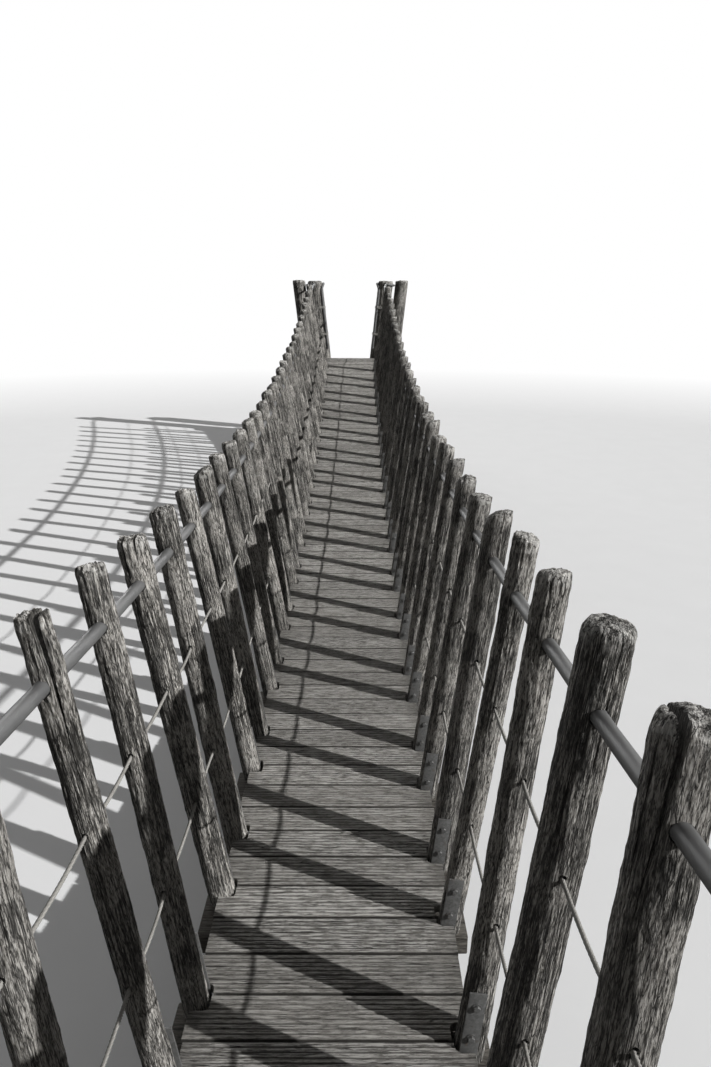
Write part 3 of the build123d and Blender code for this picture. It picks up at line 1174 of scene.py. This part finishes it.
# The logs of one side at their bearers, each a little unlike the others of its kind
def standLogs(side, sideName, draw, form):
    def standLog(place):
        station, spread = bearers[place]
        number = (place * 5 + (side + 1) * 2 + place // 6) % len(logKinds)
        near = (side, place) in nearLogs
        log = copyOf(drilled[(side, place) if near else (side, spread, number)], "log")
        placed = logPlacing(side, spread)
        matrix, inverse = np.array(placed), np.array(placed.inverted())
        own = points(log) @ inverse[:3, :3].T + inverse[:3, 3]
        girth = 1.0 if near else draw.uniform(*form["girths"])
        thick = fading(own[:, 2], plateEnd(side), form["girthOver"])
        own[:, :2] *= (1 + (girth - 1) * thick)[:, None]
        own[:, 2] += fading(own[:, 2], *form["headOver"]) * eitherWay(draw, form["headShift"])
        movePoints(log, own @ matrix[:3, :3].T + matrix[:3, 3])
        paintGrain(log, own, draw)
        tone = draw.uniform(*form["tones"])
        paintTone(log, nearLogs[side, place]["tone"] if near else tone)
        moved(log, toStation(station))
        return log

    look = (48, logWood, "log_wood", f"railing_logs_{sideName.lower()}")
    places = range(len(bearers))
    makeRows(places, railing["logGroups"], standLog, f"logRow{sideName}", *look)


logDraw = random.Random(17)
for side, sideName in sides.items():
    standLogs(side, sideName, logDraw, logForm)
throwAway(*drilled.values())
print("log rows placed")

boardForm = {
    "blanks": 3,
    "ribs": 9,
    "grooveWidth": 0.006,
    "grooveDepth": 0.0027,
    "grooveWall": 0.0016,
    "edgeRound": 0.0026,
    "shyOfGap": 0.0012,  # how much a worn board is narrower on each side
    "lengthCells": 12,
    "notchCorner": 0.016,
    "notchClearance": 0.003,
    "bumps": 0.0006,
    "dips": 0.0016,
    "endWear": 0.0015,
    "sideWear": 0.0007,
    # how pale the rib crests are, partly by wear and partly by a painted highlight
    "wear": (0.35, 0.8),
    "unwornOver": (0.3, 0.08),  # from the middle of the deck, towards its edges
    "tones": (0.1, 1.0),
    "widths": (0.985, 1.0),
    "endShift": 0.003,
    "sideShift": 0.0008,
    "rock": 0.006,
    "lift": (-0.0006, 0.0002),
}


# A grooved board lying at zero, X along it
def ribbedBoard(form, seed):
    half = deck["boardWidth"] / 2 - form["shyOfGap"]
    length, thick = deck["boardLength"], deck["boardThickness"]
    ease, deep = form["edgeRound"], form["grooveDepth"]
    edge = [(half, -ease), (half - 0.6 * ease, -0.3 * ease), (half - 1.6 * ease, 0.0)]
    profile = [(-y, z) for y, z in edge]
    pitch = 2 * half / form["ribs"]
    for groove in range(1, form["ribs"]):
        middle = -half + groove * pitch
        out = form["grooveWidth"] / 2
        wall = out - form["grooveWall"]
        profile += [(middle - out, 0.0), (middle - wall, -deep)]
        profile += [(middle + wall, -deep), (middle + out, 0.0)]
    profile += reversed(edge)
    rowCount = len(profile) - 1
    cells = {"x_subdivisions": form["lengthCells"], "y_subdivisions": rowCount}
    board = added(bpy.ops.mesh.primitive_grid_add, size=1, **cells)
    places = points(board)
    rows = np.rint((places[:, 1] + 0.5) * rowCount).astype(int)
    places[:, 0] *= length
    places[:, 1:] = np.array(profile)[rows]
    movePoints(board, places)
    # Groove bottoms and the board's sides below its rounded edges are marked for painted shade
    aside = np.abs(places[:, 1])
    low = (places[:, 2] < -deep / 2) & (aside < half - 0.004)
    joint = (places[:, 2] < -ease * 0.9) & (aside > half - 0.0005)
    paint(board, "hollowShade", low * 0.5 + joint * 0.9)
    editingAll(board, "FACE")
    extrude((0, 0, -thick))
    bpy.ops.transform.resize(value=(1, 1, 0), center_override=(0, 0, -thick))
    bpy.ops.mesh.select_all(action="SELECT")
    bpy.ops.mesh.normals_make_consistent(inside=False)

    def isUnder(face):
        return face.normal.z < -0.99 and face.calc_center_median().z < -thick / 2

    editing(board, "faces", isUnder)
    bpy.ops.mesh.dissolve_faces()
    done()
    places = points(board)
    for index, (x, y, z) in enumerate(places):
        if z > -thick / 2:
            z += form["bumps"] * wander(x * 3, y * 10, 0, 1.6, seed)
            z -= form["dips"] * max(0.0, wander(x * 4, y * 22, 0, 2.2, seed + 4) - 0.25)
        if abs(x) > length / 2 - 0.001:
            x += form["endWear"] * wander(0, y * 8, z * 8, 1.0, seed + 8)
        if abs(y) > half - 0.001:
            y += form["sideWear"] * wander(x * 4, y, 0, 1.0, seed + 2)
        places[index] = (x, y, z)
    movePoints(board, places)
    return board


# Cuts the board where a log and its plate pass
def notch(board, side, bearer, form):
    room = form["notchClearance"]
    outer = deck["bearerWidth"] / 2 + railing["plateThickness"] + room
    inner = logOffset - railing["logRadius"] - room
    slant = deck["boardThickness"] * math.tan(leans[side])
    width = 2 * (railing["logRadius"] / math.cos(leans[side]) + slant + room)
    place = (side * railing["spread"] / 2, bearer - side * (outer + inner) / 2, 0)
    cutter = newBox((width, outer - inner, 0.2), place)
    editingLong(cutter, 2, 0.1)
    bpy.ops.mesh.bevel(offset=form["notchCorner"], segments=3, affect="EDGES")
    done()
    cutWith(board, cutter)


def layDeck(form):
    draw = random.Random(29)
    notchReach = (deck["boardWidth"] + deck["bearerWidth"]) / 2
    notchReach += railing["plateThickness"] + form["notchClearance"]
    blanks = [ribbedBoard(form, seed) for seed in range(1, form["blanks"] + 1)]
    kinds = {}

    def laidBoard(station):
        offsets = [bearer - station for bearer, _ in bearers]
        close = tuple(round(offset, 6) for offset in offsets if abs(offset) < notchReach)
        blank = draw.randrange(len(blanks))
        if (close, blank) not in kinds:
            kinds[close, blank] = copyOf(blanks[blank], "boardKind")
            for side in sides:
                for bearer in close:
                    notch(kinds[close, blank], side, bearer, form)
        board = copyOf(kinds[close, blank], "board")
        own = points(board)
        paintGrain(board, own[:, [1, 2, 0]], draw)
        edge = fading(np.abs(own[:, 0]), *form["unwornOver"])
        # The rib crests are paler: partly wear, partly a painted highlight
        crest = (own[:, 2] > -0.0012) & (np.abs(own[:, 1]) < deck["boardWidth"] / 2 - 0.004)
        paint(board, "wearAndHighlight", np.clip(draw.uniform(*form["wear"]) - 0.5 * edge, 0, 1) * crest)
        paintTone(board, draw.uniform(*form["tones"]))
        own[:, 0] += eitherWay(draw, form["endShift"])
        width = draw.uniform(*form["widths"])
        own[:, 1] = own[:, 1] * width + eitherWay(draw, form["sideShift"])
        own[:, 2] += own[:, 1] * eitherWay(draw, form["rock"]) + draw.uniform(*form["lift"])
        movePoints(board, own)
        moved(board, deckPlacing(station))
        return board

    stations = [(index - (boardCount - 1) / 2) * boardPitch for index in range(boardCount)]
    groups = deck["groups"]
    makeRows(stations, groups, laidBoard, "deckBoards", 25, deckWood, "deck_wood", "deck_boards")
    throwAway(*blanks, *kinds.values())


layDeck(boardForm)
print("deck laid")

beamForm = {
    "blanks": 3,
    "corner": 0.005,
    "easedAbove": 60,
    "cells": 9,
    "overhang": 0.012,
    "wear": 0.0016,
    "cornerWear": 0.003,
    "cornerWidth": 0.006,
    "tones": (0.3, 1.0),
}


# A squared timber with eased corners and a little wear
def sawnBeam(size, middle, form, seed):
    beam = newBox(size, middle)
    subdivided(beam, 0, size[0] / 2, form["cells"])
    eased(beam, form["corner"], form["easedAbove"])
    places = points(beam)
    wide, high = (length / 2 - form["cornerWidth"] for length in size[1:])
    for index, (x, y, z) in enumerate(places):
        aside, above = y - middle[1], z - middle[2]
        shrink = form["wear"] * (0.6 + wander(x, y, z, 9.0, seed))
        if abs(aside) > wide and abs(above) > high:
            shrink += form["cornerWear"] * max(0.0, wander(x, y, z, 16.0, seed + 3))
        y -= math.copysign(shrink, aside)
        z -= math.copysign(shrink, above) * (above < 0)
        places[index] = (x, y, z)
    movePoints(beam, places)
    return beam


def setBearers(form):
    draw = random.Random(31)
    length = railing["spread"] + 2 * railing["logRadius"] + 2 * form["overhang"]
    size = (length, deck["bearerWidth"], deck["bearerDepth"])
    middle = (0, 0, bearerTop - deck["bearerDepth"] / 2)
    blanks = [sawnBeam(size, middle, form, seed) for seed in range(1, form["blanks"] + 1)]

    def setBearer(bearer):
        beam = copyOf(blanks[draw.randrange(len(blanks))], "bearer")
        paintGrain(beam, points(beam)[:, [1, 2, 0]], draw)
        paintTone(beam, draw.uniform(*form["tones"]))
        moved(beam, deckPlacing(bearer[0]))
        return beam

    look = (35, beamWood, "beam_wood", "cross_bearers")
    makeRows(bearers, deck["bearerGroups"], setBearer, "crossBearers", *look)
    throwAway(*blanks)


setBearers(beamForm)
print("bearers placed")

sillForm = {
    "width": 0.2,
    "depth": 0.22,
    "corner": 0.004,
    "easedAbove": 55,
    "cells": 12,
    "tone": 0.8,
}


def makeSills(form):
    slotWidth = deck["cableDiameter"] / math.cos(math.pi / cableSides) + 2 * deck["seat"]
    slotDepth = deck["cableDiameter"] + 3 * deck["seat"]
    for end, endName in ends.items():
        edge = deckPoint(0, end * halfLength, 0)
        size = (gate["clearWidth"] + 4 * gate["radius"], form["width"], 2 * form["depth"])
        y = edge.y + end * (gate["sillMargin"] - form["width"] / 2)
        sill = newBox(size, (0, y, edge.z - deck["boardThickness"]))
        station = end * (halfLength - form["width"] / 2)
        under = -deck["boardThickness"] - deck["seat"]
        sawOff(sill, deckPoint(0, station, under), deckUp(station), clear_outer=True)
        subdivided(sill, 0, 0.3, form["cells"])
        for side in sides:
            cutter = newBox((slotWidth, 3 * form["width"], 2 * slotDepth))
            moved(cutter, deckPlacing(station, side * deck["cableSpread"] / 2, under))
            cutWith(sill, cutter)
        eased(sill, form["corner"], form["easedAbove"])
        grain = points(sill)[:, [1, 2, 0]] + np.array([3.0 * end, 1.0, 2.0])
        paint(sill, "grainPlace", grain, "FLOAT_VECTOR")
        paintTone(sill, form["tone"])
        sill.name = f"sillBeam{endName}"
        finished(sill, 35, beamWood, f"{endName.lower()}_sill_beam")


makeSills(sillForm)
print("sills made")

plateForm = {
    "width": 0.046,
    "shift": 0.012,
    "edge": 0.0012,
    "easedAbove": 40,
    "boltAcross": 0.017,
    "boltHead": 0.009,
    "boltEdge": 0.0012,
    "washer": 0.0125,
    "washerThickness": 0.002,
    "boltHeights": (0.035, 0.125),  # above the deck
}


# A hexagon bolt's head on its washer, standing at zero
def boltHead(form):
    bolt = newCylinder(6, form["boltAcross"] / math.sqrt(3), form["boltHead"])
    editing(bolt, "faces", isTop)
    bpy.ops.mesh.bevel(offset=form["boltEdge"], segments=1, affect="EDGES")
    done()
    moved(bolt, (0, 0, form["boltHead"] / 2))
    thick = form["washerThickness"]
    return joined([bolt, newCylinder(16, form["washer"], thick, thick / 2)], "bolt")


# A bent plate with two bolts, at the bearer of station 0
def footPlate(side, spread, form):
    lean, thick = leans[side], railing["plateThickness"]
    wide = Vector((math.cos(lean), 0, -side * math.sin(lean)))
    tall = Vector((side * math.sin(lean), 0, math.cos(lean)))
    proud = Vector((0, -side, 0))
    origin = logPlacing(side, spread).translation + proud * (logFlat + deck["seat"])
    origin += wide * (-side * form["shift"])
    if wide.cross(proud).dot(tall) < 0:
        wide = -wide
    low = -deck["bearerDepth"] / math.cos(lean)
    bend = -side * spread * splay
    plate = newBox((form["width"], thick, -low), (0, thick / 2, low / 2))
    editing(plate, "faces", isTop)
    top = railing["plateTop"] + buried(side)
    extrude((0, math.sin(bend) * top, math.cos(bend) * top))
    done()
    eased(plate, form["edge"], form["easedAbove"])
    pieces = [plate]
    for height in form["boltHeights"]:
        reach = height + buried(side)
        head = boltHead(form)
        moved(head, Matrix.Rotation(-math.pi / 2, 4, "X"))
        moved(head, (0, thick + math.sin(bend) * reach, math.cos(bend) * reach))
        pieces.append(head)
    whole = joined(pieces, "footPlate")
    moved(whole, placing(wide, proud, tall, origin))
    outward(whole)
    return whole


def boltPlates(side, sideName, form):
    kinds = {spread: footPlate(side, spread, form) for spread in (-1, 1)}

    def boltPlate(bearer):
        station, spread = bearer
        plate = copyOf(kinds[spread], "plate")
        moved(plate, toStation(station))
        return plate

    look = (35, plateSteel, "plate_steel", f"foot_plates_{sideName.lower()}")
    makeRows(bearers, railing["plateGroups"], boltPlate, f"footPlates{sideName}", *look)
    throwAway(*kinds.values())


for side, sideName in sides.items():
    boltPlates(side, sideName, plateForm)
print("plates bolted on")

gateForm = dict(
    logForm,
    sides=60,
    rows=56,
    capRings=5,
    furrow=0.0018,
    tones=(0.5, 1.0),
    below=1.4,  # the level of the deck's end, to be cut at the floor
    inner=(0.97, 0.018),  # share of the solid's radius, and how far short of its top
    outer=(0.95, 0.011),
)
innerKind = traits(71, 1.0, 0.006, 0.010, 0.010, 13, 0.026, 4, crackWidth=0.0024)
outerKind = traits(83, 1.0, 0.004, 0.010, -0.012, 12, 0.024, 3, crackWidth=0.0024)


def gatePosts(form):
    length = railing["handrailHeight"] + gate["head"] + form["below"]
    (innerShare, innerShort), (outerShare, outerShort) = form["inner"], form["outer"]
    inner = wornLog(gate["radius"] * innerShare, length - innerShort, innerKind, form)
    outer = wornLog(gate["outerRadius"] * outerShare, length - outerShort, outerKind, form)
    posts = (
        (inner, "GatePost", "gate_post", 0.0),
        (outer, "OuterPost", "outer_post", outerGateShift),
    )
    draw = random.Random(43)
    for end, endName in ends.items():
        for side, sideName in sides.items():
            for blank, title, node, shift in posts:
                post = copyOf(blank, f"{endName.lower()}{sideName}{title}")
                turn = Matrix.Rotation(draw.uniform(0, 2 * math.pi), 4, "Z")
                moved(post, Matrix.Translation((0, 0, -form["below"])) @ turn)
                paintGrain(post, points(post), draw)
                paintTone(post, draw.uniform(*form["tones"]))
                moved(post, gatePlacing(side, end, shift))
                sawOff(post, (0, 0, 0), (0, 0, 1), clear_inner=True, threshold=1e-6)
                node = f"{endName.lower()}_{sideName.lower()}_{node}"
                finished(post, 48, gateWood, node)
    throwAway(inner, outer)


gatePosts(gateForm)
print("gate posts set")


def sweptTube(name, route, radius, sidesRound):  # a round tube along points, its ends closed
    curve = bpy.data.curves.new(name, "CURVE")
    curve.dimensions = "3D"
    curve.bevel_depth = radius
    curve.bevel_resolution = sidesRound // 4 - 1
    curve.use_fill_caps = True
    spline = curve.splines.new("POLY")
    spline.points.add(len(route) - 1)
    for point, place in zip(spline.points, route):
        point.co = (*place, 1)
    tube = bpy.data.objects.new(name, curve)
    bpy.context.scene.collection.objects.link(tube)
    pick(tube)
    bpy.ops.object.convert(target="MESH")
    return bpy.context.object


# Twisted strands along points: a lobed section that turns as it goes, with a corner on each
# strand and one between it and the next
def laidRope(name, route, radius, strands, pitch, sunk):
    count = strands * 2
    places, hollowShade, faces = [], [], []
    turned = 0.0
    for index, here in enumerate(route):
        before = route[max(0, index - 1)]
        after = route[min(len(route) - 1, index + 1)]
        along = (after - before).normalized()
        if index == 0:
            across = along.orthogonal().normalized()
        else:
            across = (across - along * across.dot(along)).normalized()
            turned += 2 * math.pi * (here - route[index - 1]).length / pitch
        other = along.cross(across)
        for corner in range(count):
            angle = turned + 2 * math.pi * corner / count
            lobe = 0.5 + 0.5 * math.cos(math.pi * corner)
            reach = radius * (1 - sunk * (1 - lobe))
            places.append(here + (across * math.cos(angle) + other * math.sin(angle)) * reach)
            hollowShade.append(1 - lobe)
    rings = [range(first, first + count) for first in range(0, len(places), count)]
    for first, second in zip(rings, rings[1:]):
        for corner in range(count):
            follow = (corner + 1) % count
            faces.append((first[corner], first[follow], second[follow], second[corner]))
    faces += [tuple(reversed(rings[0])), tuple(rings[-1])]
    mesh = bpy.data.meshes.new(name)
    mesh.from_pydata(places, [], faces)
    rope = bpy.data.objects.new(name, mesh)
    bpy.context.scene.collection.objects.link(rope)
    # The grooves between the strands are marked for painted shade
    paint(rope, "hollowShade", np.array(hollowShade) * 0.4)
    return rope


lineForm = {
    "handrailSides": 20,
    "tail": 0.96,  # how far down a gate post the handrail's end runs
    "tailTurn": math.pi / 4,
    "tailBow": 0.13,
    "tailSteps": (30, 10, 8),  # round the post, in the bow and down the post
    "onPost": 0.967,  # how far out on a worn post the loops lie, as a share of its radius
    "ropeStep": 0.007,
    "ropePitch": 0.042,
    "ropeStrands": 3,
    "ropeTurns": 3,
    "ropeClimb": 0.011,  # of each turn
    "ropeRadius": 0.0054,
    "ropeSunk": 0.08,  # of the grooves between the strands, as a share of the radius
    "sag": 0.011,
    "sags": (0.4, 1.4),  # least and most, as shares of the usual one
    "sway": 0.3,  # to the side, as a share of the usual sag
}
gateReach = gate["radius"] * lineForm["onPost"]


def bendsOf(side, height):
    x, level = lineLevel(side, height)
    bends = range(-deck["modules"], deck["modules"] + 1, 2)
    return [deckPoint(x, index * halfModule, level) for index in bends]


# A point on a gate post, by its angle from the side that faces the deck, how far out it lies
# and how high
def onPost(side, end, angle, out, height):
    turn = -end * math.pi / 2 + angle
    place = Vector((out * math.cos(turn), out * math.sin(turn), height))
    return gatePlacing(side, end) @ place


# Rope turns round a gate post, starting on the side that faces the deck and passing over the
# handrail's tail
def wrap(side, end, height, radius, steps):
    turns = lineForm["ropeTurns"]
    reach = gateReach + radius
    crest = gateReach + railing["handrailDiameter"] + radius
    climb = math.acos(reach / crest)
    tail = -side * end * lineForm["tailTurn"]
    places = []
    for step in range(int(steps * turns) + 1):
        share = step / (steps * turns)
        angle = -side * end * 2 * math.pi * turns * share
        off = apart(angle, tail)
        out = min(reach / math.cos(climb - off) if off < climb else reach, crest - 0.0015)
        rise = height + turns * lineForm["ropeClimb"] * (share - 0.5)
        places.append(onPost(side, end, angle, out, rise))
    return places


# The handrail's end: round the back of the post, then down to near the deck
def railEnd(side, end, height, radius):
    reach = gateReach + radius
    around = reach * (2 * math.pi - lineForm["tailTurn"])
    bow = lineForm["tailBow"]
    level, bent, straight = lineForm["tailSteps"]
    unrolled = [((around - bow) * step / level, 0.0) for step in range(level + 1)]
    for step in range(1, bent + 1):
        turn = math.pi / 2 * step / bent
        unrolled.append((around - bow + bow * math.sin(turn), -bow * (1 - math.cos(turn))))
    for step in range(1, straight + 1):
        unrolled.append((around, -bow - (lineForm["tail"] - bow) * step / straight))
    return [
        onPost(side, end, side * end * run / reach, reach, height + drop)
        for run, drop in unrolled
    ]


def handrails():
    height, diameter = railLines["handrail"]
    radius = diameter / 2
    for side, sideName in sides.items():
        nearEnd, farEnd = (railEnd(side, end, height, radius) for end in ends)
        route = list(reversed(nearEnd)) + bendsOf(side, height) + farEnd
        rail = sweptTube(f"handrail{sideName}", route, radius, lineForm["handrailSides"])
        outward(rail)
        finished(rail, 50, sheath, f"handrail_{sideName.lower()}")


handrails()


# Between the holes the rope hangs a little slack
def ropeRoute(side, height, draw):
    step = lineForm["ropeStep"]
    steps = int(2 * math.pi * gate["radius"] / step)
    holes = [
        toStation(station) @ logPlacing(side, spread) @ upLog(side, height)
        for station, spread in bearers
    ]
    nearWrap, farWrap = (wrap(side, end, height, lineForm["ropeRadius"], steps) for end in ends)
    nearWrap.reverse()
    stops = [nearWrap[-1], *holes, farWrap[0]]
    route = nearWrap[:-1]
    for first, second in zip(stops, stops[1:]):
        span = second - first
        count = max(2, int(span.length / step))
        sag = draw.uniform(*lineForm["sags"]) * lineForm["sag"]
        sway = eitherWay(draw, lineForm["sway"]) * lineForm["sag"]
        for index in range(count):
            share = index / count
            hang = 4 * share * (1 - share)
            route.append(first + span * share + Vector((sway * hang, 0, -sag * hang)))
    return route + farWrap


def ropes():
    draw = random.Random(47)
    form = [lineForm[key] for key in ("ropeRadius", "ropeStrands", "ropePitch", "ropeSunk")]
    for side, sideName in sides.items():
        for title, node in (("middleRope", "middle_rope"), ("lowerRope", "lower_rope")):
            height, _ = railLines[title]
            rope = laidRope(title + sideName, ropeRoute(side, height, draw), *form)
            outward(rope)
            finished(rope, 70, ropeFibre, f"{node}_{sideName.lower()}")


ropes()
print("handrails and ropes strung")

cableForm = {
    "step": 0.014,
    "strands": 6,
    "pitch": 0.17,
    "tail": 0.052,  # beyond the sill
    "radius": 0.0112,
    "sunk": 0.14,
}


def bearingCables(form):
    reach = halfLength + gate["sillMargin"] + form["tail"]
    count = int(2 * reach / form["step"])
    stations = [-reach + 2 * reach * step / count for step in range(count + 1)]
    strand = [form[key] for key in ("radius", "strands", "pitch", "sunk")]
    for side, sideName in sides.items():
        x = side * deck["cableSpread"] / 2
        route = [deckPoint(x, station, cableLevel) for station in stations]
        cable = laidRope(f"bearingCable{sideName}", route, *strand)
        outward(cable)
        finished(cable, 70, cableSteel, f"bearing_cable_{sideName.lower()}")


bearingCables(cableForm)
print("cables strung")

anchorForm = {
    "width": 0.09,
    "height": 0.1,
    "rise": 0.02,
    "thickness": 0.012,
    "nutAcross": 0.038,
    "nutLength": 0.026,
    "nutCrown": (0.003, 1.12),  # an inset of its ends, which then stand this much further out
    "edge": 0.002,
    "easedAbove": 30,
}


# A plate against the sill and a nut on the cable's end, for each cable
def anchors(form):
    innerFace = deckPoint(0, halfLength, 0).y + gate["sillMargin"] + deck["seat"]
    turn = math.asin((innerFace + form["thickness"]) / (deckRadius - cableLevel))
    size = (form["width"], form["thickness"], form["height"])
    for end, endName in ends.items():
        station = end * deckRadius * turn
        pieces = []
        for side in sides:
            cable = deckPoint(side * deck["cableSpread"] / 2, station, cableLevel)
            y = end * (innerFace + form["thickness"] / 2)
            plate = newBox(size, (cable.x, y, cable.z + form["rise"] - form["height"] / 2))
            eased(plate, form["edge"], form["easedAbove"])
            nut = newCylinder(6, form["nutAcross"] / math.sqrt(3), form["nutLength"])
            inset, crown = form["nutCrown"]
            editing(nut, "faces", lambda face: abs(face.normal.z) > 0.9)
            bpy.ops.mesh.inset(thickness=inset)
            bpy.ops.transform.resize(value=(1, 1, crown))
            done()
            moved(nut, (0, 0, form["nutLength"] / 2))
            along = deckRun(station) * end
            moved(nut, along.to_track_quat("Z", "X").to_matrix().to_4x4(), cable)
            pieces += [plate, nut]
        anchor = joined(pieces, f"cableAnchors{endName}")
        outward(anchor)
        finished(anchor, 35, plateSteel, f"{endName.lower()}_cable_anchors")


anchors(anchorForm)
print("anchors made")

for name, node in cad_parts.items():
    if not node.hide_render:
        print("still shown from the frame:", name)

counts = {}
for piece in made:
    counts[piece.name] = sum(len(face.vertices) - 2 for face in piece.data.polygons)
largest = max(counts, key=counts.get)
print("triangles:", sum(counts.values()), "in", len(counts), "pieces")
print("most in", largest, counts[largest])
